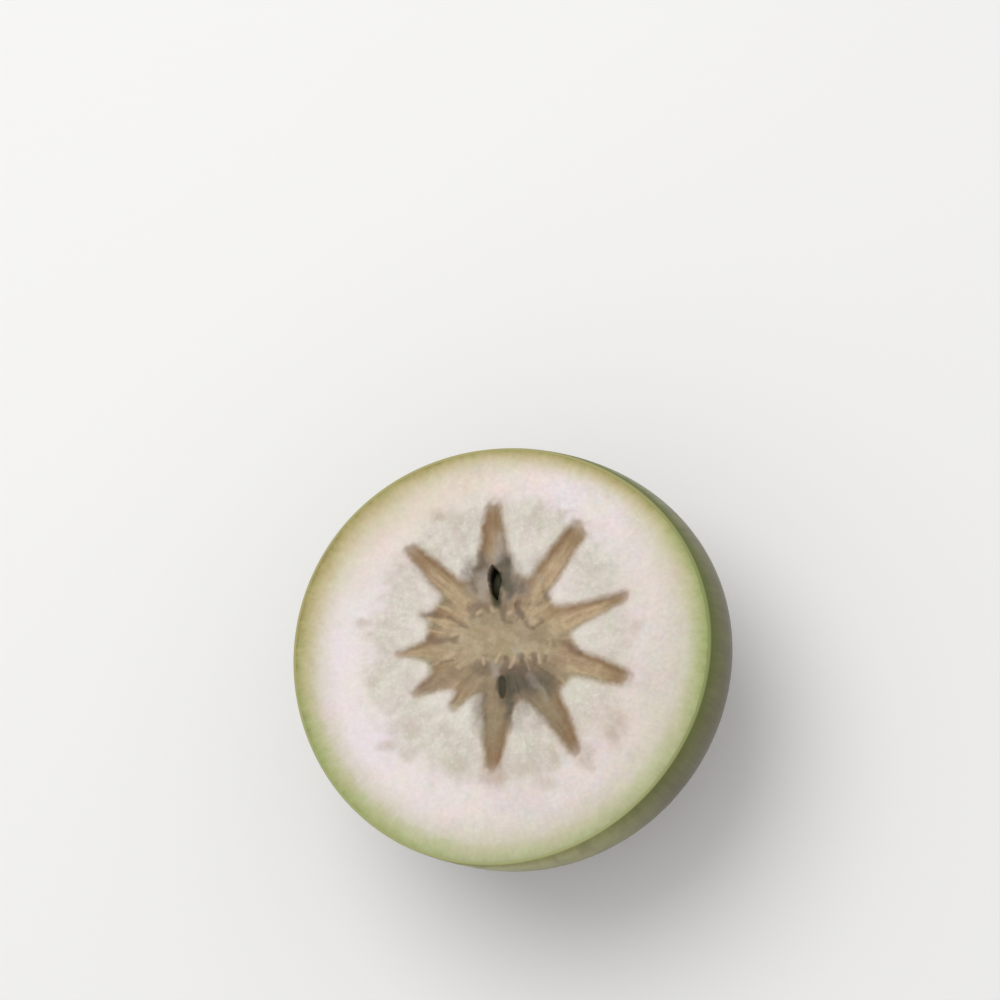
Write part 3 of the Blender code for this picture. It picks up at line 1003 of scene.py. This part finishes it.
def skin_finish():
    paint = Paint("skin")
    level = paint.node("ShaderNodeSeparateXYZ", {}, {0: paint.mm}, output="Z")
    radius, silk_place = paint.spokes(FRUIT_AXIS, 26, lambda distance: level * 0.07)
    silk = paint.noise(1.0, 5, 0.62, silk_place)
    cloud = paint.noise(15, 3, 0.55)
    mottle = paint.noise(3.2, 4, 0.6)
    dot = paint.noise(0.7, 2, 0.5, seed=3.0)

    green = paint.mix(cloud.step(0.38, 0.66), SKIN_GREEN, SKIN_YELLOW)
    # Painted shade: the skin turns brown higher up on the side away from the light
    painted_shade_side = paint.along(paint.mm, -30).step(-25, 30)
    fall = BLUSH_TOP - level + (cloud - 0.5) * 14 + (silk - 0.5) * 10 + painted_shade_side * 15
    colour = paint.mix(fall.step(0, 24), green, SKIN_BROWN)
    colour = paint.mix(fall.step(18, 44) * 0.8, colour, SKIN_PINK)
    # Painted light: a lighter straw band on the upper skin towards -Y
    low_edge = level + (cloud - 0.5) * 16 + (silk - 0.5) * 14
    painted_light_band = paint.along(paint.mm, -92).step(24, 40) * low_edge.step(20, 39)
    colour = paint.mix(painted_light_band * 0.7, colour, SKIN_LIT_STRAW)
    streaks = (silk * 0.7 + mottle * 0.3).step(0.42, 0.68)
    colour = paint.mix(streaks * 0.45, colour, SKIN_OLIVE)
    colour = paint.mix(dot.step(0.66, 0.74) * 0.3, colour, SKIN_FLECK)
    frayed = level + (mottle - 0.5) * 1.6 + (silk - 0.5) * 1.2
    near_cut = frayed.step(CUT_HEIGHT - 3.6, CUT_HEIGHT - 0.2)
    # Painted shadow: a darker green near the cut, and on the cut's rim, on the right side
    painted_shadow_side = paint.along(paint.mm, 20).step(5, 34)
    colour = paint.mix(near_cut * (0.2 + painted_shadow_side * 0.7), colour, SKIN_EDGE_AND_SHADOW)
    sunny = (paint.along(paint.mm, 115) + (cloud - 0.5) * 16).step(-6, 24)
    cut_rim = paint.mix(painted_shadow_side, RIM_YELLOW, RIM_GREEN)
    cut_rim = paint.mix(sunny * 0.7, cut_rim, RIM_STRAW)
    colour = paint.mix(level.step(CUT_HEIGHT - 0.3, CUT_HEIGHT - 0.05), colour, cut_rim)
    scar = radius.step(3.4, 1.6) * level.step(6, 2)
    colour = paint.mix(scar, colour, SCAR_BROWN)
    return paint.finish(
        height=silk * 0.5 + mottle * 0.4 + dot * 0.3,
        depth=0.00008,
        Base_Color=colour,
        Roughness=0.38 + (mottle - 0.5) * 0.12 + near_cut * 0.2,
        Coat_Weight=0.07 - near_cut * 0.05,
        Coat_Roughness=0.2,
        Specular_IOR_Level=0.3,
    )


def seed_finish():
    paint = Paint("seed")
    grain = paint.noise(1.5, 3, 0.5)
    colour = paint.mix(grain.step(0.35, 0.65), SEED_BLACK, SEED_BROWN)
    return paint.finish(
        height=grain,
        depth=0.00003,
        Base_Color=colour,
        Roughness=0.5,
        Specular_IOR_Level=0.12,
    )


def floor_finish():
    return Paint("floor").finish(Base_Color=FLOOR_COLOUR, Roughness=FLOOR_ROUGHNESS)


def add_floor():
    shape = bmesh.new()
    bmesh.ops.create_grid(shape, x_segments=1, y_segments=1, size=FLOOR_HALF)
    mesh = mesh_from("floor", shape)
    mesh.materials.append(floor_finish())
    floor = bpy.data.objects.new("floor", mesh)
    bpy.context.scene.collection.objects.link(floor)


def add_key_light():
    lamp = bpy.data.lights.new("key", "AREA")
    lamp.shape = "DISK"
    lamp.size = KEY_SIZE
    lamp.energy = KEY_POWER
    lamp.color = KEY_COLOUR
    key = bpy.data.objects.new("key", lamp)
    bpy.context.scene.collection.objects.link(key)
    key.location = KEY_PLACE
    aim = Vector((0, 0, CUT_HEIGHT * MM / 2)) - Vector(KEY_PLACE)
    key.rotation_euler = aim.to_track_quat("-Z", "Y").to_euler()


def add_soft_light():
    """Even white light from all round, shown without a contrast curve."""
    world = bpy.data.worlds.new("studio")
    world.use_nodes = True
    background = world.node_tree.nodes["Background"]
    background.inputs["Color"].default_value = (1, 1, 1, 1)
    background.inputs["Strength"].default_value = SOFT_LIGHT
    bpy.context.scene.world = world
    bpy.context.scene.view_settings.view_transform = "Standard"


def add_camera():
    """Looks down at the face from the picture's side, with the picture's top towards +Y."""
    back = Vector(
        (
            math.sin(CAMERA_TILT) * math.cos(CAMERA_AZIMUTH),
            math.sin(CAMERA_TILT) * math.sin(CAMERA_AZIMUTH),
            math.cos(CAMERA_TILT),
        )
    )
    right = Vector((0, 1, 0)).cross(back).normalized()
    turn = Matrix((right, back.cross(right), back)).transposed()
    middle = PICTURE_SIZE / 2
    sight = Vector(
        (
            (FACE_PIXEL[0] - middle) / FOCAL_PIXELS,
            (middle - FACE_PIXEL[1]) / FOCAL_PIXELS,
            -1,
        )
    )
    turn = turn @ sight.rotation_difference(Vector((0, 0, -1))).to_matrix()
    camera = bpy.data.cameras.new("camera")
    camera.lens = LENS
    camera.sensor_width = SENSOR_WIDTH
    camera.clip_start = 0.01
    made = bpy.data.objects.new("camera", camera)
    bpy.context.scene.collection.objects.link(made)
    face = Vector((*FACE_CENTRE, CUT_HEIGHT)) * MM
    place = face + back * FOCAL_PIXELS * MM_PER_PIXEL * MM
    made.matrix_world = Matrix.Translation(place) @ turn.to_4x4()
    bpy.context.scene.camera = made


make_flesh(flesh_finish())
make_skin(skin_finish())
seed_coat = seed_finish()
for seed_name in SEEDS:
    make_seed(seed_name, seed_coat)
add_floor()
add_key_light()
add_soft_light()
add_camera()
